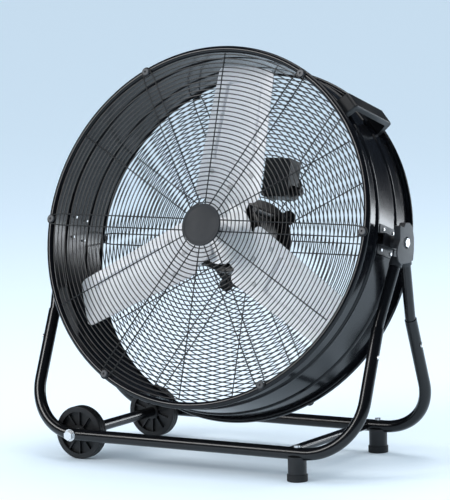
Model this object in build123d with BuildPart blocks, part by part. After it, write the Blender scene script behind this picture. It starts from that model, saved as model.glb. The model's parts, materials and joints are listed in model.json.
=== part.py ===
from build123d import *
import math
import os

# A 24-inch wheeled drum fan: a tilting sheet-metal drum with wire guards,
# carried between two bent-tube frames.
# Units are millimetres. +Z is up, the air leaves towards -Y, +X is to the right seen from the front.
# The origin is on the floor under the middle of the fan.

# ---- driving dimensions ----------------------------------------------------------------
PIVOT_HEIGHT = 406.5        # tilt axis above the floor
TILT = 17.0                 # how far the drum looks up at rest, degrees

DRUM_R = 322.0              # outside of the drum's sheet
SHEET = 1.5
RIM_DEPTH = 91.3            # half of the drum's depth, to the rim planes
BEAD_R = 6.35               # rolled edge of each rim
BEAD_CENTRE_R = 324.3
RIBS = ((40.8, 3.2, 6.5), (-31.7, 2.6, 5.0))    # pressed ribs: place along the axis, height, half width

WIRE = 2.2                  # guard wire
RING_PITCH = 8.0
RING_COUNT = 35
FIRST_RING_R = 42.0
SCREW_CIRCLE_R = 322.0
SCREW_R = 2.5
HAIRPINS = 6
HAIRPIN_HALF = 10.5         # half of the distance between a hairpin's two wires
SPOKE_INNER_R = 30.0
EYELET_R = 9.3
EYELET_HOLE_R = 6.2
CENTRE_PLATE_R = 36.0
STUD_R = 4.0
BADGE_R = 38.5

BLADE_TIP_R = 309.0
BLADE_ROOT_R = 60.0
BLADE_PITCH = 15.0
BLADE_THICK = 1.5
BLADE_CAMBER_R = 242.0
BLADE_FORWARD = 18.0        # blade middle, forward of the tilt axis
BLADE_ANGLES = (88.5, 208.5, 328.5)
BLADE_OUTLINE = ((BLADE_ROOT_R, 50.0), (74.0, 61.0), (340.0, 50.0))     # along it, half its width
BLADE_CORNER_R = 14.0
ARM_OUTLINE = ((30.0, 34.0), (96.0, 48.0), (122.0, 42.0))
ARM_THICK = 3.0
RIVET_R = 2.5
RIVET_PLACES = ((110.0, -37.0), (110.0, 37.0), (84.0, 0.0))     # along the blade, across it
HUB_PLATE_R = 56.0
SHAFT_R = 6.0

PLATE_THICK = 2.5           # motor mounting plate
MOTOR_R = 67.0
MOTOR_WALL = 3.0
MOTOR_FRONT = -4.0
MOTOR_SPLIT = -46.0
LUG_R = 6.5
LUG_CIRCLE_R = 69.5
BEARING_R = 16.0
BEARING_WIDTH = 10.0
STATOR_BACK = -64.0
STATOR_FRONT = -28.0

BOX_CENTRE = (58.0, 120.0)
BOX_WIDTH = 53.0
BOX_HEIGHT = 71.0
BOX_DEPTH = 40.0
BOX_WALL = 2.0
KNOB_CIRCLE_R = 126.0
KNOB_ANGLE = 60.0

HANDLE_ANGLE = 43.0
HANDLE_TOP_R = 352.0
HANDLE_GRIP = 10.0
HANDLE_WIDTH = 34.0
HANDLE_HALF_TOP = 70.0
HANDLE_HALF_FOOT = 76.0
HANDLE_LEG = 13.0

TUBE_R = 11.0
TUBE_WALL = 1.5
TUBE_HEIGHT = 48.5          # centre of the bottom runs above the floor
TUBE_Y = 154.0              # centre of the bottom runs, front and rear
LEG_X = 336.0
BEND_R = 100.0
SEAM_HEIGHT = 262.0
LEG_LEAN = 0.4215           # how far a leg leans towards the tilt axis for each millimetre of height
UPPER_LEG_R = 9.48
UPPER_LEG_WALL = 1.5
INSERT_LENGTH = 65.0        # how far an upper leg goes into the base tube
LEG_SPLAY = 6.7             # outward lean of the upper legs, degrees
LEG_TOP_HEIGHT = 380.0

BRACKET_X = 362.0           # outer face of the frame's pivot bracket
BRACKET_THICK = 2.6
CHANNEL_TOP_X = 334.0       # outer face of the drum's pivot channel
CHANNEL_HALF = 10.5
PIVOT_R = 5.0

AXLE_X = -242.5
AXLE_R = 5.0
WASHER_R = 11.0
WASHER_THICK = 1.5
WHEEL_R = 48.5
WHEEL_WIDTH = 21.0
WHEEL_INNER_Y = 116.0
FOOT_X = 222.0
FOOT_R = 16.5
PAD_R = 18.25
PAD_HEIGHT = 12.0
BRACE_X = 200.0
BRACE_R = 8.0

RUNNING = 0.05              # radial clearance of turning fits
EASE = 0.02                 # radial clearance of fixed fits
GAP = 0.3                   # space between faces that move past each other

# ---- the tilted head's own directions and planes ---------------------------------------
tilt = math.radians(TILT)
pivot = Vector(0, 0, PIVOT_HEIGHT)
right = Vector(1, 0, 0)
flow = Vector(0, -math.cos(tilt), math.sin(tilt))
lift = Vector(0, math.sin(tilt), math.cos(tilt))
HEAD = Plane(origin=pivot, x_dir=right, z_dir=flow)         # x right, y lift, z along the air
SECTION = Plane(origin=pivot, x_dir=right, z_dir=-lift)     # x radius, y along the air
FAN_AXIS = Axis(pivot, flow)

RING_FACE = RIM_DEPTH - WIRE        # inner face of a guard, from the middle of the drum
SPOKE_FACE = RIM_DEPTH + WIRE       # outer face of a guard
PLATE_BACK = -RING_FACE
PLATE_FRONT = PLATE_BACK + PLATE_THICK

os.makedirs("parts", exist_ok=True)


def save(piece, name):
    """Labels a finished piece and writes it to its own file."""
    piece.part.label = name
    export_step(piece.part, f"parts/{name}.step")


def outward(angle):
    """The head's direction across the air at an angle from the right."""
    a = math.radians(angle)
    return right * math.cos(a) + lift * math.sin(a)


def side_plane(x, side=1):
    """A plane of the head across the tilt axis, facing away from the middle, with y along lift."""
    return Plane(origin=pivot + right * x * side, x_dir=-flow * side, z_dir=right * side)


def disc(plane, radius, height, hole=0.0):
    """Adds a round disc, or a ring, that stands on a plane."""
    with BuildSketch(plane) as outline:
        Circle(radius)
        if hole:
            Circle(hole, mode=Mode.SUBTRACT)
    extrude(outline.sketch, amount=height)


def bore(plane, radius, depth):
    """Cuts a round hole from a plane along its normal."""
    with BuildSketch(plane) as outline:
        Circle(radius)
    extrude(outline.sketch, amount=depth, mode=Mode.SUBTRACT)


def hexagon(plane, flats, height, hole=0.0):
    """Adds a hexagon, given across its flats, that stands on a plane."""
    with BuildSketch(plane) as outline:
        RegularPolygon(flats / 2, 6, major_radius=False)
        if hole:
            Circle(hole, mode=Mode.SUBTRACT)
    extrude(outline.sketch, amount=height)


FOOT_SCREWS = HANDLE_HALF_FOOT - 7.0
CHANNEL_SCREWS = [(x, y) for x in (-18.5, 18.5) for y in (-18.5, 18.5)]


def channel_screw_planes(side, x):
    """Planes facing outwards on the four screws of one pivot channel."""
    origin = pivot + right * side * x
    return [
        Plane(origin=origin + flow * along + lift * up, x_dir=-flow * side, z_dir=right * side)
        for along, up in CHANNEL_SCREWS
    ]


def handle_screw_planes(radius):
    """Outward planes on the two screws of each handle foot."""
    planes = []
    for side in (1, -1):
        for turn in (-1.6, 1.6):
            out = outward(HANDLE_ANGLE + turn)
            origin = pivot + out * radius + flow * side * FOOT_SCREWS
            planes.append(Plane(origin=origin, x_dir=flow, z_dir=out))
    return planes


# ---- drum ------------------------------------------------------------------------------
BEAD_PLACE = RIM_DEPTH - BEAD_R     # middle of a bead, from the middle of the drum

with BuildPart() as drum_shell:
    with BuildSketch(SECTION):
        with Locations((DRUM_R - SHEET / 2, 0)):
            Rectangle(SHEET, 2 * (BEAD_PLACE - 0.8 * BEAD_R))
        for place, height, half in RIBS:
            rib_r = (half * half + height * height) / (2 * height)
            with Locations((DRUM_R + height - rib_r, place)):
                Circle(rib_r)
                Circle(rib_r - SHEET, mode=Mode.SUBTRACT)
        with Locations((DRUM_R - SHEET - 10, 0)):
            Rectangle(20, 2 * RIM_DEPTH, mode=Mode.SUBTRACT)
        for side in (1, -1):
            with Locations((BEAD_CENTRE_R, side * BEAD_PLACE)):
                Circle(BEAD_R)
                Circle(BEAD_R - SHEET, mode=Mode.SUBTRACT)
            with Locations((BEAD_CENTRE_R + 0.65 * BEAD_R, side * (BEAD_PLACE - 0.8 * BEAD_R))):
                Rectangle(1.4, 5, mode=Mode.SUBTRACT)
    revolve(axis=FAN_AXIS)
    for side in (1, -1):
        with BuildSketch(HEAD.offset(side * (RIM_DEPTH + 1))):
            with PolarLocations(SCREW_CIRCLE_R, HAIRPINS):
                Circle(SCREW_R)
        extrude(amount=-side * 8, mode=Mode.SUBTRACT)
    for side in (1, -1):
        for plane in channel_screw_planes(side, DRUM_R - 8):
            bore(plane, 2.0, 12)
    for plane in handle_screw_planes(DRUM_R - 10):
        bore(plane, SCREW_R, 12)


# ---- wire guards -----------------------------------------------------------------------
def wire_guard(side):
    """One welded guard: rings inside the rim, and spokes and screw eyelets on the rim's face."""
    with BuildPart() as guard:
        with BuildSketch(HEAD.offset(side * RIM_DEPTH)):
            for i in reversed(range(RING_COUNT)):
                ring = FIRST_RING_R + RING_PITCH * i
                Circle(ring + WIRE / 2)
                Circle(ring - WIRE / 2, mode=Mode.SUBTRACT)
            Circle(CENTRE_PLATE_R)
            Circle(STUD_R + EASE, mode=Mode.SUBTRACT)
        extrude(amount=-side * WIRE)
        last = FIRST_RING_R + RING_PITCH * (RING_COUNT - 1) + WIRE
        with BuildSketch(HEAD.offset(side * RIM_DEPTH)):
            with PolarLocations((SPOKE_INNER_R + SCREW_CIRCLE_R) / 2, HAIRPINS):
                with Locations((0, HAIRPIN_HALF), (0, -HAIRPIN_HALF)):
                    Rectangle(SCREW_CIRCLE_R - SPOKE_INNER_R, WIRE)
            with PolarLocations((SPOKE_INNER_R + last) / 2, HAIRPINS, start_angle=30):
                Rectangle(last - SPOKE_INNER_R, WIRE)
            with PolarLocations(SCREW_CIRCLE_R, HAIRPINS):
                Circle(EYELET_R)
                Circle(EYELET_HOLE_R, mode=Mode.SUBTRACT)
                with Locations((0, HAIRPIN_HALF - WIRE), (0, WIRE - HAIRPIN_HALF)):
                    Rectangle(3, WIRE)
        extrude(amount=side * WIRE)
    return guard


front_guard = wire_guard(1)
rear_guard = wire_guard(-1)

with BuildPart() as guard_badge:
    disc(HEAD.offset(SPOKE_FACE), BADGE_R, 4.0)
    fillet(guard_badge.edges().group_by(FAN_AXIS)[-1], 1.5)
    disc(HEAD.offset(SPOKE_FACE), STUD_R, -(2 * WIRE + 4.0))

with BuildPart() as badge_retainer:
    disc(HEAD.offset(RING_FACE), 20.0, -3.0, hole=STUD_R + EASE)

with BuildPart() as guard_screws:
    for side in (1, -1):
        with BuildSketch(HEAD.offset(side * SPOKE_FACE)):
            with PolarLocations(SCREW_CIRCLE_R, HAIRPINS):
                Circle(EYELET_HOLE_R + 1.0)
        extrude(amount=side * 3.0, taper=20)
        with BuildSketch(HEAD.offset(side * SPOKE_FACE)):
            with PolarLocations(SCREW_CIRCLE_R, HAIRPINS):
                Circle(SCREW_R - EASE)
        extrude(amount=-side * 10.0)
        with BuildSketch(HEAD.offset(side * (SPOKE_FACE + 3.0))):
            with PolarLocations(SCREW_CIRCLE_R, HAIRPINS):
                RegularPolygon(2.0, 6, major_radius=False)
        extrude(amount=-side * 2.0, mode=Mode.SUBTRACT)

# ---- carrying handle -------------------------------------------------------------------
handle_out = outward(HANDLE_ANGLE)
HANDLE = Plane(origin=pivot, x_dir=flow, z_dir=flow.cross(handle_out))  # x along the air, y outwards

with BuildPart() as carry_handle:
    with BuildSketch(HANDLE.offset(-HANDLE_WIDTH / 2)):
        with BuildLine():
            Polyline(
                (-HANDLE_HALF_FOOT, DRUM_R - 6),
                (-HANDLE_HALF_TOP, HANDLE_TOP_R),
                (HANDLE_HALF_TOP, HANDLE_TOP_R),
                (HANDLE_HALF_FOOT, DRUM_R - 6),
                close=True,
            )
        make_face()
        with BuildLine():
            Polyline(
                (HANDLE_LEG - HANDLE_HALF_FOOT, DRUM_R - 7),
                (HANDLE_LEG - HANDLE_HALF_TOP, HANDLE_TOP_R - HANDLE_GRIP),
                (HANDLE_HALF_TOP - HANDLE_LEG, HANDLE_TOP_R - HANDLE_GRIP),
                (HANDLE_HALF_FOOT - HANDLE_LEG, DRUM_R - 7),
                close=True,
            )
        make_face(mode=Mode.SUBTRACT)
    extrude(amount=HANDLE_WIDTH)
    out_axis = Axis(pivot, handle_out)
    fillet(carry_handle.edges().filter_by(Axis(pivot, HANDLE.z_dir)).group_by(out_axis)[-1], 7)
    fillet(carry_handle.faces().sort_by(out_axis)[-1].edges().filter_by(FAN_AXIS), 3)
    bore(HEAD.offset(-RIM_DEPTH), DRUM_R, 2 * RIM_DEPTH)
    for plane in handle_screw_planes(DRUM_R - 10):
        bore(plane, SCREW_R, 22)

with BuildPart() as handle_screws:
    for plane in handle_screw_planes(DRUM_R - SHEET - 0.15):
        disc(plane, 4.6, -2.6)
        disc(plane, SCREW_R - EASE, 11)

# ---- pivot channels on the drum --------------------------------------------------------
CHANNEL_BACK = -25.5
CHANNEL_LENGTH = 58.0

with BuildPart() as pivot_channels:
    for side in (1, -1):
        with BuildSketch(HEAD.offset(CHANNEL_BACK)):
            with Locations((side * (DRUM_R - 6), 0)):
                Rectangle(20, 52)
            with Locations((side * (DRUM_R + 20 + 1.8), 0)):
                Rectangle(40, 52, mode=Mode.SUBTRACT)
            with Locations((side * (CHANNEL_TOP_X - 10), 0)):
                Rectangle(20, 2 * CHANNEL_HALF)
            with Locations((side * (CHANNEL_TOP_X - 12), 0)):
                Rectangle(20, 2 * CHANNEL_HALF - 4, mode=Mode.SUBTRACT)
            Circle(DRUM_R, mode=Mode.SUBTRACT)
        extrude(amount=CHANNEL_LENGTH)
        bore(side_plane(CHANNEL_TOP_X - 4, side), PIVOT_R + EASE, 8)
        for plane in channel_screw_planes(side, DRUM_R - 8):
            bore(plane, 2.0, 12)

with BuildPart() as channel_screws:
    for side in (1, -1):
        for plane in channel_screw_planes(side, DRUM_R + 1.8):
            disc(plane, 2.9, 1.6)
            disc(plane, 2.0 - EASE, -8)

with BuildPart() as pivot_nuts:
    for side in (1, -1):
        hexagon(side_plane(DRUM_R + 1.6, side), 16.6, 8.2, hole=PIVOT_R + EASE)

SPACER_END_X = 349.8

with BuildPart() as pivot_spacers:
    for side in (1, -1):
        disc(side_plane(CHANNEL_TOP_X, side), 11.0, SPACER_END_X - CHANNEL_TOP_X, hole=PIVOT_R + EASE)

BUSH_X = SPACER_END_X + 0.2
BUSH_LENGTH = BRACKET_X - BRACKET_THICK - BUSH_X

with BuildPart() as pivot_bolts:
    for side in (1, -1):
        head_plane = side_plane(BUSH_X + BUSH_LENGTH + 0.2, side)
        hexagon(head_plane, 15.0, 5.0)
        disc(head_plane, PIVOT_R, -(BUSH_X + BUSH_LENGTH + 0.2 - DRUM_R - 0.8))

# ---- motor -----------------------------------------------------------------------------
LUG_ANGLES = (45, 135, 225, 315)
CLAMP_ANGLES = (38, 120, 240)
CLAMP_CIRCLE_R = 86.0       # between two guard rings
knob_out = outward(KNOB_ANGLE)
KNOB_PLANE = Plane(origin=pivot + knob_out * KNOB_CIRCLE_R, x_dir=right, z_dir=flow)
DIAL_SCREWS = (-16.0, 16.0)     # from the knob along its radius, in the gaps between guard rings


def on_knob_radius(along, forward):
    """A plane facing the air on the knob's radius of the guard."""
    return Plane(origin=pivot + knob_out * (KNOB_CIRCLE_R + along) + flow * forward, x_dir=right, z_dir=flow)


def lug_planes(forward):
    """Planes facing the air on the motor's four clamping lugs."""
    return [
        Plane(origin=pivot + outward(a) * LUG_CIRCLE_R + flow * forward, x_dir=right, z_dir=flow)
        for a in LUG_ANGLES
    ]


def clamp_planes(forward):
    """Planes facing the air on the mounting plate's three guard clamps."""
    return [
        Plane(origin=pivot + outward(a) * CLAMP_CIRCLE_R + flow * forward, x_dir=right, z_dir=flow)
        for a in CLAMP_ANGLES
    ]


with BuildPart() as motor_mount_plate:
    with BuildSketch(HEAD.offset(PLATE_BACK)):
        Circle(84)
        for angle in CLAMP_ANGLES:
            with PolarLocations(CLAMP_CIRCLE_R, 1, start_angle=angle):
                Circle(10)
    extrude(amount=PLATE_THICK)
    for plane in lug_planes(PLATE_BACK) + clamp_planes(PLATE_BACK):
        bore(plane, SCREW_R, PLATE_THICK)

with BuildPart() as switch_box_plate:
    with BuildSketch(HEAD.offset(PLATE_BACK)):
        with Locations(BOX_CENTRE):
            Rectangle(BOX_WIDTH - 8, BOX_HEIGHT - 8)
    extrude(amount=PLATE_THICK)
    for along in DIAL_SCREWS:
        bore(on_knob_radius(along, PLATE_BACK), 2.0, PLATE_THICK)
    bore(on_knob_radius(0, PLATE_BACK), 6.0, PLATE_THICK)

with BuildPart() as clamp_washers:
    for plane in clamp_planes(-SPOKE_FACE):
        disc(plane, 14.0, -2.0, hole=SCREW_R)

with BuildPart() as clamp_screws:
    for plane in clamp_planes(-SPOKE_FACE - 2.0):
        hexagon(plane, 9.0, -4.0)
        disc(plane, SCREW_R - EASE, SPOKE_FACE + 2.0 + PLATE_FRONT)
    for plane in clamp_planes(PLATE_FRONT):
        hexagon(plane, 9.0, 4.0)


def motor_shell(open_at, wall_at, shaft_hole):
    """A cup-shaped motor cover with four lugs, a bearing seat and a flat end wall."""
    inward = 1 if open_at > wall_at else -1
    with BuildPart() as shell:
        with BuildSketch(HEAD.offset(wall_at)):
            Circle(MOTOR_R)
            with PolarLocations(LUG_CIRCLE_R, len(LUG_ANGLES), LUG_ANGLES[0]):
                Circle(LUG_R)
        extrude(amount=open_at - wall_at)
        outer_face = shell.faces().filter_by(HEAD).sort_by(FAN_AXIS)[0 if inward > 0 else -1]
        fillet(outer_face.edges(), 2)
        inside = HEAD.offset(wall_at + inward * MOTOR_WALL)
        bore(inside, MOTOR_R - MOTOR_WALL, open_at - wall_at - inward * MOTOR_WALL)
        disc(inside, BEARING_R + 4, inward * BEARING_WIDTH, hole=BEARING_R + EASE)
        bore(HEAD.offset(wall_at), shaft_hole, inward * MOTOR_WALL)
        with BuildSketch(HEAD.offset(wall_at)):
            with PolarLocations(LUG_CIRCLE_R, len(LUG_ANGLES), LUG_ANGLES[0]):
                Circle(SCREW_R)
        extrude(amount=open_at - wall_at, mode=Mode.SUBTRACT)
    return shell


motor_rear_shell = motor_shell(MOTOR_SPLIT, PLATE_FRONT, 9.0)
motor_front_shell = motor_shell(MOTOR_SPLIT, MOTOR_FRONT, 9.0)

with BuildPart() as motor_through_bolts:
    for plane in lug_planes(MOTOR_FRONT):
        hexagon(plane, 9.0, 4.0)
        disc(plane, SCREW_R - EASE, PLATE_BACK + 0.2 - MOTOR_FRONT)

with BuildPart() as motor_bearings:
    for place, inward in ((PLATE_FRONT + MOTOR_WALL, 1), (MOTOR_FRONT - MOTOR_WALL, -1)):
        disc(HEAD.offset(place), BEARING_R, inward * BEARING_WIDTH, hole=SHAFT_R + RUNNING)

with BuildPart() as stator_core:
    disc(HEAD.offset(STATOR_BACK), MOTOR_R - MOTOR_WALL - EASE, STATOR_FRONT - STATOR_BACK, hole=35.0)

with BuildPart() as stator_windings:
    for place in (STATOR_BACK - 5.5, STATOR_FRONT + 5.5):
        with BuildSketch(SECTION):
            with Locations((48, place)):
                RectangleRounded(18, 11, 4)
        revolve(axis=FAN_AXIS)

# ---- rotating fan ----------------------------------------------------------------------
SHAFT_BACK = PLATE_FRONT + MOTOR_WALL + 0.5
SHAFT_FRONT = 44.0
HUB_BACK = 3.0
HUB_FRONT = 34.0

with BuildPart() as fan_shaft:
    disc(HEAD.offset(SHAFT_BACK), SHAFT_R, SHAFT_FRONT - SHAFT_BACK)

with BuildPart() as rotor_core:
    disc(HEAD.offset(STATOR_BACK), 34.6, STATOR_FRONT - STATOR_BACK, hole=SHAFT_R + EASE)

with BuildPart() as hub_nut:
    hexagon(HEAD.offset(HUB_FRONT), 17.0, 7.0, hole=SHAFT_R + EASE)


def blade_plane(angle):
    """Plane across a blade at the axis: x along its chord, y towards the thrown air, z outwards."""
    out = outward(angle)
    pitch = math.radians(BLADE_PITCH)
    chord = flow.cross(out) * math.cos(pitch) + flow * math.sin(pitch)
    return Plane(origin=pivot + flow * BLADE_FORWARD, x_dir=chord, z_dir=out)


def pressed_sheet(angle, near, far, outline, corner=0.0):
    """A sheet curved to the blades' camber, between two depths, cut to a symmetric outline."""
    across = blade_plane(angle)
    start, end = outline[0][0], outline[-1][0]
    with BuildPart() as sheet:
        with BuildSketch(across.offset(start - 5)):
            with Locations((0, BLADE_CAMBER_R)):
                Circle(BLADE_CAMBER_R + far)
                Circle(BLADE_CAMBER_R + near, mode=Mode.SUBTRACT)
            Rectangle(150, 60, mode=Mode.INTERSECT)
        extrude(amount=end - start + 10)
        pitch_face = Plane(origin=across.origin, x_dir=across.z_dir, z_dir=across.y_dir)
        with BuildSketch(pitch_face.offset(-40)) as planform:
            with BuildLine():
                Polyline(*outline, *[(along, -half) for along, half in reversed(outline)], close=True)
            make_face()
            Circle(BLADE_TIP_R, mode=Mode.INTERSECT)
            if corner:
                fillet(planform.vertices().sort_by(Axis.X)[-2:], corner)
        extrude(amount=80, mode=Mode.INTERSECT)
    return sheet.part


def rivet_planes(angle):
    """Planes on a blade's middle surface at its three rivets, facing the thrown air."""
    across = blade_plane(angle)
    planes = []
    for along, side in RIVET_PLACES:
        slope = math.asin(side / BLADE_CAMBER_R)
        face = across.y_dir * math.cos(slope) - across.x_dir * math.sin(slope)
        centre = across.origin + across.y_dir * BLADE_CAMBER_R + across.z_dir * along
        planes.append(Plane(origin=centre - face * BLADE_CAMBER_R, x_dir=across.z_dir, z_dir=face))
    return planes


def fan_blade(angle):
    """One pressed blade with its three rivet holes."""
    with BuildPart() as blade:
        add(pressed_sheet(angle, -BLADE_THICK / 2, BLADE_THICK / 2, BLADE_OUTLINE, BLADE_CORNER_R))
        for plane in rivet_planes(angle):
            bore(plane.offset(-10), RIVET_R + EASE, 20)
    return blade


blades = [fan_blade(angle) for angle in BLADE_ANGLES]

with BuildPart() as hub_spider:
    disc(HEAD.offset(HUB_BACK), 17.0, HUB_FRONT - HUB_BACK)
    disc(HEAD.offset(BLADE_FORWARD - 6), HUB_PLATE_R, 4.0)
    for angle in BLADE_ANGLES:
        add(pressed_sheet(angle, BLADE_THICK / 2, BLADE_THICK / 2 + ARM_THICK, ARM_OUTLINE))
    bore(HEAD.offset(HUB_BACK - 20), SHAFT_R + EASE, 80)
    for angle in BLADE_ANGLES:
        for plane in rivet_planes(angle):
            bore(plane.offset(-10), RIVET_R + EASE, 20)

with BuildPart() as blade_rivets:
    for angle in BLADE_ANGLES:
        for plane in rivet_planes(angle):
            disc(plane.offset(-BLADE_THICK / 2 - ARM_THICK - 1.4), 4.5, BLADE_THICK + ARM_THICK + 3.6)
    add([hub_spider.part] + [blade.part for blade in blades], mode=Mode.SUBTRACT)
    for angle in BLADE_ANGLES:
        for plane in rivet_planes(angle):
            disc(plane.offset(-BLADE_THICK / 2 - ARM_THICK - 1), RIVET_R, BLADE_THICK + ARM_THICK + 2.6)

# ---- switch box and speed control ------------------------------------------------------
BOX_BACK = PLATE_FRONT
BOX_FRONT = BOX_BACK + BOX_DEPTH
GLAND_UP = 99.0
GLAND_FORWARD = BOX_BACK + 14.0
KNOB_SHAFT_R = 2.3
DIAL_THICK = 2.0

with BuildPart() as switch_box:
    with BuildSketch(HEAD.offset(BOX_BACK)):
        with Locations(BOX_CENTRE):
            RectangleRounded(BOX_WIDTH, BOX_HEIGHT, 2)
    extrude(amount=BOX_DEPTH - BOX_WALL)
    with BuildSketch(HEAD.offset(BOX_BACK + BOX_WALL)):
        with Locations(BOX_CENTRE):
            RectangleRounded(BOX_WIDTH - 2 * BOX_WALL, BOX_HEIGHT - 2 * BOX_WALL, 1)
    extrude(amount=BOX_DEPTH, mode=Mode.SUBTRACT)
    bore(on_knob_radius(0, BOX_BACK), 5.0, BOX_WALL)
    for along in DIAL_SCREWS:
        bore(on_knob_radius(along, BOX_BACK), 2.0, BOX_WALL)
    gland_plane = Plane(
        origin=pivot + right * (BOX_CENTRE[0] + BOX_WIDTH / 2) + lift * GLAND_UP + flow * GLAND_FORWARD,
        x_dir=-flow,
        z_dir=right,
    )
    bore(gland_plane.offset(-BOX_WALL), 8.0, BOX_WALL)

with BuildPart() as switch_box_cover:
    with BuildSketch(HEAD.offset(BOX_FRONT - BOX_WALL)):
        with Locations(BOX_CENTRE):
            RectangleRounded(BOX_WIDTH, BOX_HEIGHT, 2)
    extrude(amount=BOX_WALL)
    fillet(switch_box_cover.edges().group_by(FAN_AXIS)[-1], 1.2)

with BuildPart() as cord_gland:
    disc(gland_plane.offset(-BOX_WALL - 2), 8.0 - EASE, BOX_WALL + 2)
    hexagon(gland_plane, 19.0, 6)
    disc(gland_plane.offset(6), 8.0, 10)
    bore(gland_plane.offset(-10), 4.0, 40)

with BuildPart() as speed_switch:
    with BuildSketch(HEAD.offset(BOX_BACK + BOX_WALL)):
        with Locations((KNOB_PLANE.origin.X, 0)):
            with Locations((0, KNOB_CIRCLE_R * math.sin(math.radians(KNOB_ANGLE)))):
                Rectangle(30, 22)
    extrude(amount=16)
    disc(on_knob_radius(0, BOX_BACK + BOX_WALL), 5.0 - EASE, -BOX_WALL)
    bore(on_knob_radius(0, BOX_BACK), KNOB_SHAFT_R + RUNNING, 13)

with BuildPart() as run_capacitor:
    with BuildSketch(HEAD.offset(BOX_BACK + BOX_WALL + 2)):
        with Locations((BOX_CENTRE[0], BOX_CENTRE[1] + 22)):
            RectangleRounded(40, 18, 2)
    extrude(amount=28)

with BuildPart() as speed_dial:
    disc(on_knob_radius(0, -SPOKE_FACE), 25.0, -DIAL_THICK, hole=4.0)
    for along in DIAL_SCREWS:
        bore(on_knob_radius(along, -SPOKE_FACE), 2.0, -DIAL_THICK)

with BuildPart() as dial_screws:
    for along in DIAL_SCREWS:
        dial_face = on_knob_radius(along, -SPOKE_FACE - DIAL_THICK)
        disc(dial_face, 3.4, -1.8)
        disc(dial_face, 2.0 - EASE, SPOKE_FACE + DIAL_THICK + BOX_BACK + 6)

with BuildPart() as speed_knob:
    knob_face = on_knob_radius(0, -SPOKE_FACE - DIAL_THICK - 1)
    disc(knob_face, 12.0, -14)
    fillet(speed_knob.edges().group_by(FAN_AXIS)[0], 1.5)
    with BuildSketch(on_knob_radius(0, -SPOKE_FACE - DIAL_THICK - 4)):
        with Locations((0, 6)):
            Rectangle(5, 18)
    extrude(amount=-12)
    disc(knob_face, KNOB_SHAFT_R, SPOKE_FACE + DIAL_THICK + BOX_BACK + 13)

# ---- base tubes and legs ---------------------------------------------------------------
lean = math.atan(LEG_LEAN)
SEAM_UP = (SEAM_HEIGHT - TUBE_HEIGHT) / math.cos(lean)      # seam above the bottom run, along the leg
FRONT = -1
REAR = 1


def frame_plane(end):
    """The inclined plane of one tube frame, from the middle of its bottom run: x right, y up."""
    up = Vector(0, -end * math.sin(lean), math.cos(lean))
    return Plane(origin=(0, end * TUBE_Y, TUBE_HEIGHT), x_dir=right, z_dir=right.cross(up))


def tube_along(path, outer, inner):
    """Sweeps a round tube along a path."""
    with BuildSketch(Plane(origin=path @ 0, z_dir=path % 0)) as outline:
        Circle(outer)
        Circle(inner, mode=Mode.SUBTRACT)
    sweep(outline.sketch, path=path)


def base_tube(end):
    """One bent base tube, from leg seam to leg seam, with its axle, foot and leg screw holes."""
    with BuildPart() as tube:
        with BuildLine(frame_plane(end)) as line:
            FilletPolyline((-LEG_X, SEAM_UP), (-LEG_X, 0), (LEG_X, 0), (LEG_X, SEAM_UP), radius=BEND_R)
        tube_along(line.wires()[0], TUBE_R, TUBE_R - TUBE_WALL)
        bore(Plane(origin=(AXLE_X, end * TUBE_Y - 15, TUBE_HEIGHT), z_dir=(0, 1, 0)), AXLE_R + EASE, 30)
        bore(Plane(origin=(FOOT_X, end * TUBE_Y, TUBE_HEIGHT - 15)), 3.0 + EASE, 30)
        for side in (1, -1):
            bore(leg_screw_plane(end, side, TUBE_R - 4), 2.0 + EASE, 8)
    return tube


def leg_screw_plane(end, side, out):
    """A plane facing outwards on the screw that joins an upper leg to its base tube."""
    place = frame_plane(end).from_local_coords((side * (LEG_X + out), SEAM_UP - 0.8 * INSERT_LENGTH, 0))
    return Plane(origin=place, x_dir=(0, 1, 0), z_dir=(side, 0, 0))


def upper_leg(end, side):
    """One upper leg: a straight end inside the base tube, then a slight outward bend."""
    rise = (LEG_TOP_HEIGHT - SEAM_HEIGHT) / math.cos(lean)
    bend_up = SEAM_UP + 5
    splay = (SEAM_UP + rise - bend_up) * math.tan(math.radians(LEG_SPLAY))
    with BuildPart() as leg:
        with BuildLine(frame_plane(end)) as line:
            FilletPolyline(
                (side * LEG_X, SEAM_UP - INSERT_LENGTH),
                (side * LEG_X, bend_up),
                (side * (LEG_X + splay), SEAM_UP + rise),
                radius=80,
            )
        tube_along(line.wires()[0], UPPER_LEG_R, UPPER_LEG_R - UPPER_LEG_WALL)
        bore(leg_screw_plane(end, side, TUBE_R - 6), 2.0 + EASE, 8)
    return leg


def leg_top_plane(end, side, back):
    """The plane across an upper leg's top, moved back down the leg, facing up along it."""
    up = frame_plane(end).y_dir
    direction = up * math.cos(math.radians(LEG_SPLAY)) + right * side * math.sin(math.radians(LEG_SPLAY))
    rise = (LEG_TOP_HEIGHT - SEAM_HEIGHT) / math.cos(lean)
    splay = (rise - 5) * math.tan(math.radians(LEG_SPLAY))
    top = frame_plane(end).from_local_coords((side * (LEG_X + splay), SEAM_UP + rise, 0))
    return Plane(origin=top - direction * back, x_dir=(0, 1, 0), z_dir=direction)


front_base_tube = base_tube(FRONT)
rear_base_tube = base_tube(REAR)
front_left_leg = upper_leg(FRONT, -1)
front_right_leg = upper_leg(FRONT, 1)
rear_left_leg = upper_leg(REAR, -1)
rear_right_leg = upper_leg(REAR, 1)

with BuildPart() as leg_screws:
    for end in (FRONT, REAR):
        for side in (1, -1):
            plane = leg_screw_plane(end, side, TUBE_R)
            disc(plane, 4.4, 2.6)
            disc(plane, 2.0, -5)


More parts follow.
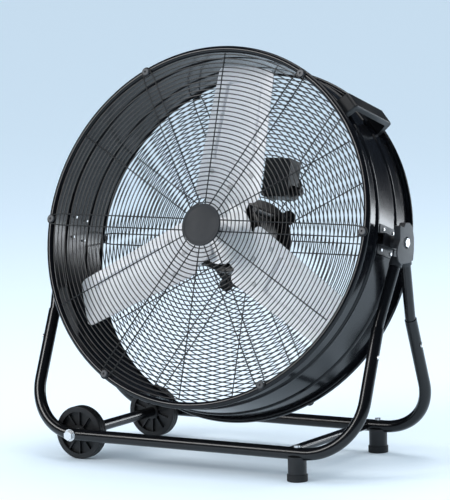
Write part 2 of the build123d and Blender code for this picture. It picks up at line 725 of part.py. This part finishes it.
# ---- pivot brackets on the frame -------------------------------------------------------
BRACKET_OUTLINE = [(-24, 33), (-10, 28), (-2, 35), (14, 34), (25, 25), (30, 5), (29, -16), (25, -34)]
BRACKET_OUTLINE += [(8, -37), (-23, -36), (-32, -29), (-37, -15), (-34, -4), (-25, 8)]


def pivot_bracket(side):
    """A pressed bracket: a lobed plate with a bent edge, two leg sockets and a pivot bush."""
    inner_x = BRACKET_X - BRACKET_THICK
    with BuildPart() as bracket:
        plate = Plane(origin=(side * inner_x, 0, PIVOT_HEIGHT), x_dir=(0, 1, 0), z_dir=(1, 0, 0))
        with BuildSketch(plate) as face:
            with BuildLine():
                Polyline(*BRACKET_OUTLINE, close=True)
            make_face()
            fillet(face.vertices(), 2.5)
        extrude(amount=side * BRACKET_THICK)
        with BuildSketch(plate) as edge:
            add(face.sketch_local)
            offset(amount=-2.2, mode=Mode.SUBTRACT)
            Rectangle(80, 60, align=(Align.CENTER, Align.MAX), mode=Mode.SUBTRACT)
        extrude(amount=-side * 9)
        outer_edges = bracket.edges().group_by(Axis.X)[-1 if side > 0 else 0]
        fillet(outer_edges, 1.2)
        for end in (FRONT, REAR):
            disc(leg_top_plane(end, side, 15), 11.6, 15)
        disc(Plane(origin=(side * BUSH_X, 0, PIVOT_HEIGHT), z_dir=(side, 0, 0)), 12.8, BUSH_LENGTH)
        for end in (FRONT, REAR):
            bore(leg_top_plane(end, side, 60), UPPER_LEG_R + EASE, 60)
        bore(Plane(origin=(side * (BUSH_X + BUSH_LENGTH), 0, PIVOT_HEIGHT), z_dir=(side, 0, 0)), 10.5, 10)
        bore(Plane(origin=(side * BUSH_X, 0, PIVOT_HEIGHT), z_dir=(side, 0, 0)), PIVOT_R + RUNNING, 20)
    return bracket


right_pivot_bracket = pivot_bracket(1)
left_pivot_bracket = pivot_bracket(-1)

# ---- axle and wheels -------------------------------------------------------------------
TUBE_FACE_Y = TUBE_Y + TUBE_R
AXLE_NUT = 7.0


def axle_plane(y):
    """A plane facing the rear on the wheels' axle."""
    return Plane(origin=(AXLE_X, y, TUBE_HEIGHT), z_dir=(0, 1, 0))


with BuildPart() as axle_rod:
    reach = TUBE_FACE_Y + WASHER_THICK
    disc(axle_plane(-reach), AXLE_R, 2 * reach + AXLE_NUT)
    hexagon(axle_plane(-reach), 16.0, -AXLE_NUT)
    fillet(axle_rod.edges().group_by(Axis.Y)[0], 0.8)

with BuildPart() as axle_nut:
    hexagon(axle_plane(reach), 16.0, AXLE_NUT, hole=AXLE_R + EASE)

with BuildPart() as axle_washers:
    for y in (-reach, TUBE_FACE_Y):
        disc(axle_plane(y), WASHER_R, WASHER_THICK, hole=AXLE_R + EASE)

with BuildPart() as wheel_spacers:
    wheel_face = WHEEL_INNER_Y + WHEEL_WIDTH + GAP
    spacer_length = TUBE_Y - TUBE_R - 0.1 - wheel_face
    for y in (wheel_face, -wheel_face - spacer_length):
        disc(axle_plane(y), 8.5, spacer_length, hole=AXLE_R + EASE)

with BuildPart() as axle_sleeve:
    disc(axle_plane(GAP - WHEEL_INNER_Y), 9.5, 2 * (WHEEL_INNER_Y - GAP), hole=AXLE_R + 0.5)


def wheel(end):
    """A moulded wheel: a dished web with radial ribs between its hub and its grooved tread."""
    middle = end * (WHEEL_INNER_Y + WHEEL_WIDTH / 2)
    half = WHEEL_WIDTH / 2
    section = Plane(origin=(AXLE_X, middle, TUBE_HEIGHT), x_dir=(1, 0, 0), z_dir=(0, 0, -1))
    with BuildPart() as moulding:
        with BuildSketch(section):
            with Locations((WHEEL_R - 5, 0)):
                Rectangle(10, WHEEL_WIDTH)
            with Locations((WHEEL_R / 2, 0)):
                Rectangle(WHEEL_R - 4, 6)
            with Locations((7, 0)):
                Rectangle(14, WHEEL_WIDTH)
            for y in (-4, 4):
                with Locations((WHEEL_R, y)):
                    Rectangle(2.4, 1.6, mode=Mode.SUBTRACT)
        revolve(axis=Axis((AXLE_X, 0, TUBE_HEIGHT), (0, 1, 0)))
        with BuildSketch(axle_plane(middle - half + 2.5)):
            with PolarLocations(26, 10):
                Rectangle(28, 2.6)
        extrude(amount=WHEEL_WIDTH - 5)
        bore(axle_plane(middle - half), AXLE_R + RUNNING, WHEEL_WIDTH)
        circles = moulding.edges().filter_by(GeomType.CIRCLE)
        rims = circles.filter_by(lambda edge: abs(edge.radius - WHEEL_R) < 0.1)
        fillet(rims.group_by(Axis.Y)[0] + rims.group_by(Axis.Y)[-1], 2.5)
    return moulding


front_wheel = wheel(FRONT)
rear_wheel = wheel(REAR)

# ---- feet and brace --------------------------------------------------------------------
POST_BOTTOM = 4.0

with BuildPart() as foot_posts:
    for end in (FRONT, REAR):
        disc(Plane(origin=(FOOT_X, end * TUBE_Y, POST_BOTTOM)), FOOT_R, TUBE_HEIGHT - 5 - POST_BOTTOM)
        bore(Plane(origin=(FOOT_X - 30, end * TUBE_Y, TUBE_HEIGHT), z_dir=(1, 0, 0)), TUBE_R, 60)
        bore(Plane(origin=(FOOT_X, end * TUBE_Y, 14)), 3.0 + EASE, 40)

with BuildPart() as foot_pads:
    for end in (FRONT, REAR):
        disc(Plane(origin=(FOOT_X, end * TUBE_Y, 0)), PAD_R, PAD_HEIGHT)
        bore(Plane(origin=(FOOT_X, end * TUBE_Y, POST_BOTTOM)), FOOT_R + EASE, PAD_HEIGHT)
    fillet(foot_pads.edges().group_by(Axis.Z)[0], 1.5)

with BuildPart() as foot_bolts:
    for end in (FRONT, REAR):
        disc(Plane(origin=(FOOT_X, end * TUBE_Y, TUBE_HEIGHT + TUBE_R)), 5.5, 3.2)
        disc(Plane(origin=(FOOT_X, end * TUBE_Y, TUBE_HEIGHT + TUBE_R)), 3.0, -42)

with BuildPart() as cross_brace:
    brace_end = Plane(origin=(BRACE_X, -TUBE_Y, TUBE_HEIGHT), z_dir=(0, 1, 0))
    disc(brace_end, BRACE_R, 2 * TUBE_Y, hole=BRACE_R - 1.5)
    for end in (FRONT, REAR):
        bore(Plane(origin=(BRACE_X - 30, end * TUBE_Y, TUBE_HEIGHT), z_dir=(1, 0, 0)), TUBE_R, 60)

# ---- write every piece -----------------------------------------------------------------
PIECES = {
    "drum_shell": drum_shell,
    "front_guard": front_guard,
    "rear_guard": rear_guard,
    "guard_badge": guard_badge,
    "badge_retainer": badge_retainer,
    "guard_screws": guard_screws,
    "carry_handle": carry_handle,
    "handle_screws": handle_screws,
    "pivot_channels": pivot_channels,
    "channel_screws": channel_screws,
    "pivot_nuts": pivot_nuts,
    "pivot_spacers": pivot_spacers,
    "pivot_bolts": pivot_bolts,
    "motor_mount_plate": motor_mount_plate,
    "switch_box_plate": switch_box_plate,
    "clamp_washers": clamp_washers,
    "clamp_screws": clamp_screws,
    "motor_rear_shell": motor_rear_shell,
    "motor_front_shell": motor_front_shell,
    "motor_through_bolts": motor_through_bolts,
    "motor_bearings": motor_bearings,
    "stator_core": stator_core,
    "stator_windings": stator_windings,
    "fan_shaft": fan_shaft,
    "rotor_core": rotor_core,
    "hub_nut": hub_nut,
    "hub_spider": hub_spider,
    "blade_1": blades[0],
    "blade_2": blades[1],
    "blade_3": blades[2],
    "blade_rivets": blade_rivets,
    "switch_box": switch_box,
    "switch_box_cover": switch_box_cover,
    "cord_gland": cord_gland,
    "speed_switch": speed_switch,
    "run_capacitor": run_capacitor,
    "speed_dial": speed_dial,
    "dial_screws": dial_screws,
    "speed_knob": speed_knob,
    "front_base_tube": front_base_tube,
    "rear_base_tube": rear_base_tube,
    "front_left_leg": front_left_leg,
    "front_right_leg": front_right_leg,
    "rear_left_leg": rear_left_leg,
    "rear_right_leg": rear_right_leg,
    "leg_screws": leg_screws,
    "right_pivot_bracket": right_pivot_bracket,
    "left_pivot_bracket": left_pivot_bracket,
    "axle_rod": axle_rod,
    "axle_nut": axle_nut,
    "axle_washers": axle_washers,
    "wheel_spacers": wheel_spacers,
    "axle_sleeve": axle_sleeve,
    "front_wheel": front_wheel,
    "rear_wheel": rear_wheel,
    "foot_posts": foot_posts,
    "foot_pads": foot_pads,
    "foot_bolts": foot_bolts,
    "cross_brace": cross_brace,
}
for piece_name, piece in PIECES.items():
    save(piece, piece_name)
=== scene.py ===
import bpy
import json
import math
from mathutils import Matrix, Vector


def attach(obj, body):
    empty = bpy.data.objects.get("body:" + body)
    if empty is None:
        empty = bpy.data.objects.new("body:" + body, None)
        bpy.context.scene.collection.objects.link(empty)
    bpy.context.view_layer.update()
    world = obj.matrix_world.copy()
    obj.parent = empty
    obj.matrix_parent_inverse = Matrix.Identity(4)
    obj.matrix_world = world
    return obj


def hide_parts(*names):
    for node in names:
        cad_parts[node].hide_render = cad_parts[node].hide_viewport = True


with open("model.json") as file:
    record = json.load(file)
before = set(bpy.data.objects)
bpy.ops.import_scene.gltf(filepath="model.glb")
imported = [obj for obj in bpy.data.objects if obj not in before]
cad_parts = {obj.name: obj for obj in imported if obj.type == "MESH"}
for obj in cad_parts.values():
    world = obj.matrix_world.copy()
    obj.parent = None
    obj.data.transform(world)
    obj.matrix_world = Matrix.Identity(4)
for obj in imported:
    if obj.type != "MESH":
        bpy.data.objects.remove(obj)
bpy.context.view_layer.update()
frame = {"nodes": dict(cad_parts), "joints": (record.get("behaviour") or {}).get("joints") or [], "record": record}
MM = 0.001

# ---- the drum's own frame: x right, y lift, z along the air ----------------------------
joints = {joint["name"]: joint for joint in frame["joints"]}
pivot = Vector(joints["drum_tilt"]["pos_m"])
right = Vector((1, 0, 0))
flow = Vector(joints["fan_spin"]["axis"]).normalized()
lift = flow.cross(right)
HEAD = Matrix((right, lift, flow)).transposed().to_4x4()
HEAD.translation = pivot


# ---- camera ----------------------------------------------------------------------------
def add_camera():
    azimuth, elevation, roll = (math.radians(a) for a in (30.337, 6.268, -1.058))
    back = Vector((
        math.sin(azimuth) * math.cos(elevation),
        -math.cos(azimuth) * math.cos(elevation),
        math.sin(elevation),
    ))
    across = Vector((math.cos(azimuth), math.sin(azimuth), 0))
    upward = back.cross(across)
    x_axis = across * math.cos(roll) + upward * math.sin(roll)
    y_axis = upward * math.cos(roll) - across * math.sin(roll)
    target = across * -0.0048 + Vector((0, 0, 0.3795))
    camera = bpy.data.objects.new("camera", bpy.data.cameras.new("camera"))
    placing = Matrix((x_axis, y_axis, back)).transposed().to_4x4()
    placing.translation = target + back * 5.109
    camera.matrix_world = placing
    camera.data.lens = 203.16
    camera.data.sensor_width = 36
    camera.data.clip_end = 60
    bpy.context.scene.collection.objects.link(camera)
    bpy.context.scene.camera = camera


# ---- materials -------------------------------------------------------------------------
def add_node(tree, kind, **values):
    """A shader node with its plain properties and its input values set."""
    node = tree.nodes.new(kind)
    for key, value in values.items():
        if hasattr(node, key):
            setattr(node, key, value)
        else:
            node.inputs[key.replace("_", " ")].default_value = value
    return node


def noise(tree, scale, detail):
    """Noise in the object's own metres, which are the model's."""
    place = add_node(tree, "ShaderNodeTexCoord").outputs["Object"]
    texture = add_node(tree, "ShaderNodeTexNoise", Scale=scale, Detail=detail)
    tree.links.new(place, texture.inputs["Vector"])
    return texture.outputs["Fac"]


def spread(tree, value, low, high):
    """Maps a noise's middle range to low..high."""
    mapped = add_node(tree, "ShaderNodeMapRange")
    for name, number in (("From Min", 0.3), ("From Max", 0.7), ("To Min", low), ("To Max", high)):
        mapped.inputs[name].default_value = number
    tree.links.new(value, mapped.inputs["Value"])
    return mapped.outputs["Result"]


def finish_material(slot, colour, rough, metal=0.0, specular=0.5, vary=0.2, patch=9.0,
                    grain=900.0, bump=0.1, depth=0.0001):
    """A surface with uneven colour and gloss, and a fine grain.

    Colour varies by the part vary over patches, patch to the metre, and the grain's relief
    is depth metres deep at the strength bump.
    """
    material = bpy.data.materials.new(slot)
    material.use_nodes = True
    tree = material.node_tree
    shader = tree.nodes["Principled BSDF"]
    shader.inputs["Metallic"].default_value = metal
    shader.inputs["Specular IOR Level"].default_value = specular
    mix = add_node(tree, "ShaderNodeMix", data_type="RGBA")
    for name, gain in (("A", 1 - vary), ("B", 1 + vary)):
        socket = next(i for i in mix.inputs if i.name == name and i.type == "RGBA")
        socket.default_value = (*(min(1.0, c * gain) for c in colour), 1)
    tree.links.new(spread(tree, noise(tree, patch, 5.0), 0.0, 1.0), mix.inputs[0])
    shade = next(o for o in mix.outputs if o.type == "RGBA")
    tree.links.new(shade, shader.inputs["Base Color"])
    gloss = spread(tree, noise(tree, patch * 2.3, 6.0), rough * 0.85, rough * 1.18)
    tree.links.new(gloss, shader.inputs["Roughness"])
    relief = add_node(tree, "ShaderNodeBump", Strength=bump, Distance=depth)
    tree.links.new(noise(tree, grain, 2.0), relief.inputs["Height"])
    tree.links.new(relief.outputs["Normal"], shader.inputs["Normal"])
    return material


def make_materials():
    """One material for each of the record's slots."""
    moulded = {"grain": 1400.0, "bump": 0.35, "depth": 0.0002}
    looks = {
        "gloss_black": (
            (0.0035, 0.0038, 0.005), 0.15,
            {"grain": 260, "bump": 0.05, "specular": 0.3},
        ),
        "guard_wire": ((0.0025, 0.0027, 0.0035), 0.42, {"grain": 500, "bump": 0.1}),
        "dark_grey_plastic": ((0.017, 0.0175, 0.02), 0.6, moulded),
        "black_steel": ((0.012, 0.012, 0.014), 0.38, {"grain": 500}),
        "black_screws": ((0.045, 0.046, 0.05), 0.42, {"metal": 0.3}),
        "handle_plastic": ((0.007, 0.0073, 0.0085), 0.45, moulded),
        "zinc": ((0.70, 0.71, 0.72), 0.3, {"metal": 0.8, "vary": 0.08, "patch": 60}),
        "motor_black": ((0.0035, 0.0035, 0.004), 0.34, {"grain": 600, "bump": 0.2}),
        "bearing_steel": ((0.6, 0.6, 0.61), 0.25, {"metal": 1.0, "vary": 0.06}),
        "lamination_steel": ((0.28, 0.28, 0.29), 0.5, {"metal": 0.8, "grain": 2200}),
        "copper_winding": ((0.55, 0.22, 0.09), 0.35, {"metal": 0.9, "grain": 1500, "bump": 0.5}),
        "hub_steel": ((0.88, 0.87, 0.88), 0.45, {"metal": 0.2, "vary": 0.06, "patch": 30}),
        "blade_aluminium": (
            (0.86, 0.84, 0.85), 0.46,
            {"metal": 0.15, "vary": 0.05, "patch": 14, "grain": 700, "bump": 0.12},
        ),
        "rivet_aluminium": ((0.6, 0.6, 0.61), 0.45, {"metal": 0.5, "vary": 0.05}),
        "box_plastic": ((0.006, 0.006, 0.007), 0.45, moulded),
        "switch_plastic": ((0.5, 0.48, 0.42), 0.5, moulded),
        "capacitor_grey": ((0.3, 0.3, 0.32), 0.5, moulded),
        "dial_plastic": ((0.02, 0.02, 0.023), 0.4, moulded),
        "knob_plastic": ((0.018, 0.018, 0.021), 0.3, moulded),
        "tube_black": (
            (0.0035, 0.0037, 0.0045), 0.2,
            {"grain": 300, "bump": 0.08, "specular": 0.4},
        ),
        "bracket_grey": ((0.017, 0.018, 0.02), 0.42, {**moulded, "metal": 0.1}),
        "wheel_black": ((0.008, 0.008, 0.009), 0.55, moulded),
        "foot_plastic": ((0.008, 0.008, 0.009), 0.5, moulded),
        "foot_rubber": ((0.01, 0.01, 0.011), 0.75, moulded),
    }
    return {
        slot: finish_material(slot, colour, rough, **extra)
        for slot, (colour, rough, extra) in looks.items()
    }


# ---- mesh helpers ----------------------------------------------------------------------
class Surface:
    """Collects points and faces in millimetres of some plane, and becomes one object."""

    def __init__(self):
        self.points = []
        self.faces = []

    def rows(self, rows, wrap_rows=False, wrap_columns=False):
        """Adds quads over a grid given as equal rows of points."""
        base = len(self.points)
        count = len(rows[0])
        for row in rows:
            self.points += row
        for i in range(len(rows) if wrap_rows else len(rows) - 1):
            for j in range(count if wrap_columns else count - 1):
                here, beside = j, (j + 1) % count
                low, high = base + i * count, base + (i + 1) % len(rows) * count
                self.faces.append((low + here, low + beside, high + beside, high + here))

    def cap(self, ring):
        """Closes a ring of points with one face."""
        base = len(self.points)
        self.points += ring
        self.faces.append(tuple(range(base, base + len(ring))))

    def wire(self, path, radius, sides=8, closed=False):
        """A round wire along a path in a plane of constant z, with rounded ends when it is open."""
        rows = []
        count = len(path)
        for i, point in enumerate(path):
            before = path[(i - 1) % count] if closed or i else point
            after = path[(i + 1) % count] if closed or i < count - 1 else point
            along = (after - before).normalized()
            side = Vector((-along.y, along.x, 0))
            ring = []
            for k in range(sides):
                turn = 2 * math.pi * k / sides
                level = Vector((0, 0, radius * math.sin(turn)))
                ring.append(point + side * (radius * math.cos(turn)) + level)
            rows.append(ring)
        if not closed:
            for row, end, sign in ((rows[0], path[0], -1), (rows[-1], path[-1], 1)):
                along = path[1] - path[0] if sign < 0 else path[-1] - path[-2]
                tip = along.normalized() * (sign * 0.6 * radius)
                small = [end + (p - end) * 0.5 + tip for p in row]
                if sign < 0:
                    rows.insert(0, small)
                    self.cap(list(reversed(small)))
                else:
                    rows.append(small)
                    self.cap(small)
        self.rows(rows, wrap_rows=closed, wrap_columns=True)

    def lathe(self, profile, segments=96):
        """Turns a profile of (radius, z) about the z axis."""
        rows = []
        for k in range(segments):
            turn = 2 * math.pi * k / segments
            rows.append([Vector((r * math.cos(turn), r * math.sin(turn), z)) for r, z in profile])
        self.rows(rows, wrap_rows=True)

    def mesh(self, name, place=HEAD):
        data = bpy.data.meshes.new(name)
        data.from_pydata([place @ (p * MM) for p in self.points], [], self.faces)
        data.validate()
        return data


def smooth(mesh, angle=32):
    for polygon in mesh.polygons:
        polygon.use_smooth = True
    mesh.set_sharp_from_angle(angle=math.radians(angle))


def piece(name, mesh, body, slot, replaces=(), angle=32):
    """Adds a finished mesh as one piece on a body, in its slot's material."""
    smooth(mesh, angle)
    mesh.materials.append(finishes[slot])
    obj = bpy.data.objects.new(name, mesh)
    bpy.context.scene.collection.objects.link(obj)
    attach(obj, body)
    if replaces:
        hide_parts(*replaces)
    return obj


def polar(radius, degrees, z=0.0):
    turn = math.radians(degrees)
    return Vector((radius * math.cos(turn), radius * math.sin(turn), z))


# ---- wire guards -----------------------------------------------------------------------
RIM_DEPTH = 91.3
WIRE = 2.2
FIRST_RING = 42.0
RING_PITCH = 8.0
RING_COUNT = 35
SCREW_CIRCLE = 322.0
LEG_HALF = 10.5
LOOP = 8.2
SPOKE_START = 30.0
PLATE_R = 36
STUD_HOLE = 4.2


def hairpin_path(angle, z):
    """Out along one leg, round the screw, and back along the other."""
    out = polar(1, angle)
    side = Vector((-out.y, out.x, 0))
    flat = [(SPOKE_START, LEG_HALF)]
    bend_start = SCREW_CIRCLE - 20
    for i in range(7):
        t = i / 6
        ease = t * t * (3 - 2 * t)
        flat.append((bend_start + 20 * t, LEG_HALF + (LOOP - LEG_HALF) * ease))
    for i in range(1, 12):
        turn = math.pi * (0.5 - i / 12)
        flat.append((SCREW_CIRCLE + LOOP * math.cos(turn), LOOP * math.sin(turn)))
    flat += [(r, -w) for r, w in reversed(flat[:8])]
    return [out * r + side * w + Vector((0, 0, z)) for r, w in flat]


def add_guard(name, node, side):
    """Rings in one plane, spokes and hairpins welded across them."""
    guard = Surface()
    ring_z = side * (RIM_DEPTH - WIRE / 2)
    spoke_z = side * (RIM_DEPTH + WIRE / 2 - 0.15)
    last_ring = FIRST_RING + RING_PITCH * (RING_COUNT - 1)
    for i in range(RING_COUNT):
        radius = FIRST_RING + RING_PITCH * i
        steps = 72 if radius < 120 else 120
        ring = [polar(radius, 360 * k / steps, ring_z) for k in range(steps)]
        guard.wire(ring, WIRE / 2, 6, closed=True)
    for k in range(6):
        guard.wire(hairpin_path(60 * k, spoke_z), WIRE / 2, 8)
        inner, outer = (polar(r, 60 * k + 30, spoke_z) for r in (SPOKE_START, last_ring + 1.5))
        guard.wire([inner, outer], WIRE / 2, 8)
        centre = polar(SCREW_CIRCLE, 60 * k, spoke_z)
        guard.wire([centre + polar(LOOP, 90 + 10 * j) for j in range(19)], WIRE / 2, 8)
    face, back = side * RIM_DEPTH, side * (RIM_DEPTH - WIRE)
    plate = [(STUD_HOLE, back), (PLATE_R - 0.8, back), (PLATE_R, back + side * 0.5)]
    plate += [(PLATE_R, face - side * 0.5), (PLATE_R - 0.8, face), (STUD_HOLE, face)]
    guard.lathe(plate + [(STUD_HOLE, back)], 64)
    return piece(name, guard.mesh(name), "head", "guard_wire", (node,), 50)


# ---- blades ----------------------------------------------------------------------------
BLADE_TIP = 309.0
BLADE_THICK = 1.5
BLADE_PITCH = math.radians(15.0)
BLADE_CAMBER_R = 242.0
BLADE_FORWARD = 18.0
BLADE_ANGLES = (88.5, 208.5, 328.5)
BLADE_OUTLINE = ((60.0, 50.0), (66.0, 58.0), (74.0, 61.0), (340.0, 50.0))
BLADE_CORNER = 14.0
PANEL_START, PANEL_END = 132.0, 279.0
PANEL_DEPTH = 4.0
PANEL_WALL = 1.8
PANEL_CORNER = 10.0
GROOVE_DEPTH = 2.5
GROOVE_WIDTH = 3.0
ROW_STEP = 1.2


def straight_half(along):
    """Half of the blade's width between its corners."""
    for (a, half_a), (b, half_b) in zip(BLADE_OUTLINE, BLADE_OUTLINE[1:]):
        if along <= b:
            return half_a + (half_b - half_a) * (along - a) / (b - a)


def blade_half(along):
    """Half of the blade's width, with the tip's rounded corners and arc."""
    middle = BLADE_TIP - BLADE_CORNER
    side = straight_half(middle) - BLADE_CORNER
    start = math.sqrt(middle * middle - side * side)
    tangent = start * BLADE_TIP / middle
    if along <= start:
        return straight_half(along)
    if along <= tangent:
        return side + math.sqrt(max(0.0, BLADE_CORNER ** 2 - (along - start) ** 2))
    return math.sqrt(max(0.04, BLADE_TIP ** 2 - along ** 2))


def panel_sink(along, across):
    """How far the pressed panel lies behind the blade's face at a place."""
    middle = (PANEL_START + PANEL_END) / 2
    half_width = 35.6 - 0.0365 * (along - 200)
    dx = abs(along - middle) - ((PANEL_END - PANEL_START) / 2 - PANEL_CORNER)
    dy = abs(across) - (half_width - PANEL_CORNER)
    outside = math.hypot(max(dx, 0), max(dy, 0)) + min(max(dx, dy), 0) - PANEL_CORNER
    t = min(1.0, max(0.0, -outside / PANEL_WALL))
    groove = max(0.0, 1 - abs(outside + PANEL_WALL) / GROOVE_WIDTH)
    return PANEL_DEPTH * t * t * (3 - 2 * t) + GROOVE_DEPTH * groove


def blade_point(along, across, height):
    """A place on the cambered blade, height measured towards the thrown air."""
    slope = across / BLADE_CAMBER_R
    reach = BLADE_CAMBER_R - height
    x = reach * math.sin(slope)
    y = BLADE_CAMBER_R - reach * math.cos(slope)
    turned = x * math.cos(BLADE_PITCH) - y * math.sin(BLADE_PITCH)
    depth = x * math.sin(BLADE_PITCH) + y * math.cos(BLADE_PITCH)
    return Vector((along, turned, BLADE_FORWARD + depth))


def add_blade(number, angle):
    """A pressed sheet blade: cambered, pitched, with a sunk panel and rounded corners."""
    tip_start = BLADE_TIP - 18
    root = BLADE_OUTLINE[0][0]
    places = [root + i * ROW_STEP for i in range(int((tip_start - root) / ROW_STEP))]
    places += [tip_start + 18 * math.sin(math.pi / 2 * i / 24) for i in range(25)]
    columns = 96
    blade = Surface()
    sides = []
    for height in (BLADE_THICK / 2, -BLADE_THICK / 2):
        rows = []
        for along in places:
            half = blade_half(along)
            row = []
            for j in range(columns + 1):
                across = half * (2 * j / columns - 1)
                row.append(blade_point(along, across, height - panel_sink(along, across)))
            rows.append(row)
        sides.append(rows)
    front, back = sides
    blade.rows(front)
    blade.rows([list(reversed(row)) for row in back])
    for rim_front, rim_back in (
        ([row[0] for row in front], [row[0] for row in back]),
        ([row[-1] for row in reversed(front)], [row[-1] for row in reversed(back)]),
        (list(reversed(front[0])), list(reversed(back[0]))),
        (front[-1], back[-1]),
    ):
        blade.rows([rim_back, rim_front])
    name = f"pressed_blade_{number}"
    place = HEAD @ Matrix.Rotation(math.radians(angle), 4, "Z")
    return piece(name, blade.mesh(name, place), "fan", "blade_aluminium", (f"blade_{number}",), 40)


# ---- badge -----------------------------------------------------------------------------
def add_badge():
    """The plain centre disc: a rolled edge, a shallow groove and a slightly domed face."""
    face = RIM_DEPTH + WIRE
    profile = [(0, face - 6.2), (4, face - 6.2), (4, face)]
    profile += [(37.6, face), (38.4, face + 0.5), (38.5, face + 1.6)]
    for i in range(7):
        turn = math.radians(15 * i)
        profile.append((36.7 + 1.8 * math.cos(turn), face + 1.9 + 1.8 * math.sin(turn)))
    profile += [(34.6, face + 3.5), (34.0, face + 3.1), (33.2, face + 3.0), (32.4, face + 3.2)]
    for i in range(1, 10):
        radius = 32.4 * (1 - i / 9)
        profile.append((radius, face + 3.95 - 0.7 * (radius / 32.4) ** 2))
    badge = Surface()
    badge.lathe(profile, 128)
    disc = badge.mesh("centre_badge")
    return piece("centre_badge", disc, "head", "dark_grey_plastic", ("guard_badge",), 35)


# ---- stage -----------------------------------------------------------------------------
def add_floor():
    size = 400
    data = bpy.data.meshes.new("floor")
    corners = [(-size, -size, 0), (size, -size, 0), (size, size, 0), (-size, size, 0)]
    data.from_pydata(corners, [], [(0, 1, 2, 3)])
    material = bpy.data.materials.new("floor")
    material.use_nodes = True
    shader = material.node_tree.nodes["Principled BSDF"]
    shader.inputs["Base Color"].default_value = (0.86, 0.92, 0.97, 1)
    shader.inputs["Roughness"].default_value = 0.55
    data.materials.append(material)
    floor = bpy.data.objects.new("floor", data)
    bpy.context.scene.collection.objects.link(floor)


def add_light(name, place, aim, size, power, colour=(1, 1, 1)):
    """A rectangular softbox that faces a point."""
    lamp = bpy.data.lights.new(name, "AREA")
    lamp.shape = "RECTANGLE"
    lamp.size, lamp.size_y = size
    lamp.energy = power
    lamp.color = colour
    obj = bpy.data.objects.new(name, lamp)
    away = (Vector(place) - Vector(aim)).normalized()
    obj.matrix_world = Matrix.Translation(place) @ away.to_track_quat("Z", "Y").to_matrix().to_4x4()
    bpy.context.scene.collection.objects.link(obj)


def add_lighting():
    """A pale studio: bright to look at and light with, and darker where the gloss reflects it."""
    world = bpy.data.worlds.new("studio")
    world.use_nodes = True
    tree = world.node_tree
    seen = tree.nodes["Background"]
    seen.inputs["Color"].default_value = (0.74, 0.88, 1.0, 1)
    seen.inputs["Strength"].default_value = 1.15
    mirrored = add_node(tree, "ShaderNodeBackground", Color=(0.5, 0.65, 0.9, 1), Strength=0.05)
    rays = add_node(tree, "ShaderNodeLightPath")
    choice = add_node(tree, "ShaderNodeMixShader")
    tree.links.new(rays.outputs["Is Glossy Ray"], choice.inputs[0])
    tree.links.new(seen.outputs["Background"], choice.inputs[1])
    tree.links.new(mirrored.outputs["Background"], choice.inputs[2])
    tree.links.new(choice.outputs["Shader"], tree.nodes["World Output"].inputs["Surface"])
    bpy.context.scene.world = world
    middle = (0, 0, 0.4)
    add_light("key", (-2.2, -3.4, 2.6), middle, (1.8, 1.4), 90)
    add_light("side strip", (2.6, 4.4, 0.9), middle, (0.8, 3.0), 75, (0.9, 0.95, 1.0))
    add_light("top", (0.3, 0.6, 3.4), middle, (2.4, 2.4), 40)
    bpy.context.scene.view_settings.view_transform = "Standard"


# ---- build -----------------------------------------------------------------------------
add_camera()
finishes = make_materials()
slot_of = {part["node"]: part["material_slot"] for part in frame["record"]["subparts"]}
for node_name, node in frame["nodes"].items():
    node.data.materials.clear()
    node.data.materials.append(finishes[slot_of[node_name]])
add_guard("front_wire_guard", "front_guard", 1)
add_guard("rear_wire_guard", "rear_guard", -1)
for number, angle in enumerate(BLADE_ANGLES, 1):
    add_blade(number, angle)
add_badge()
add_floor()
add_lighting()
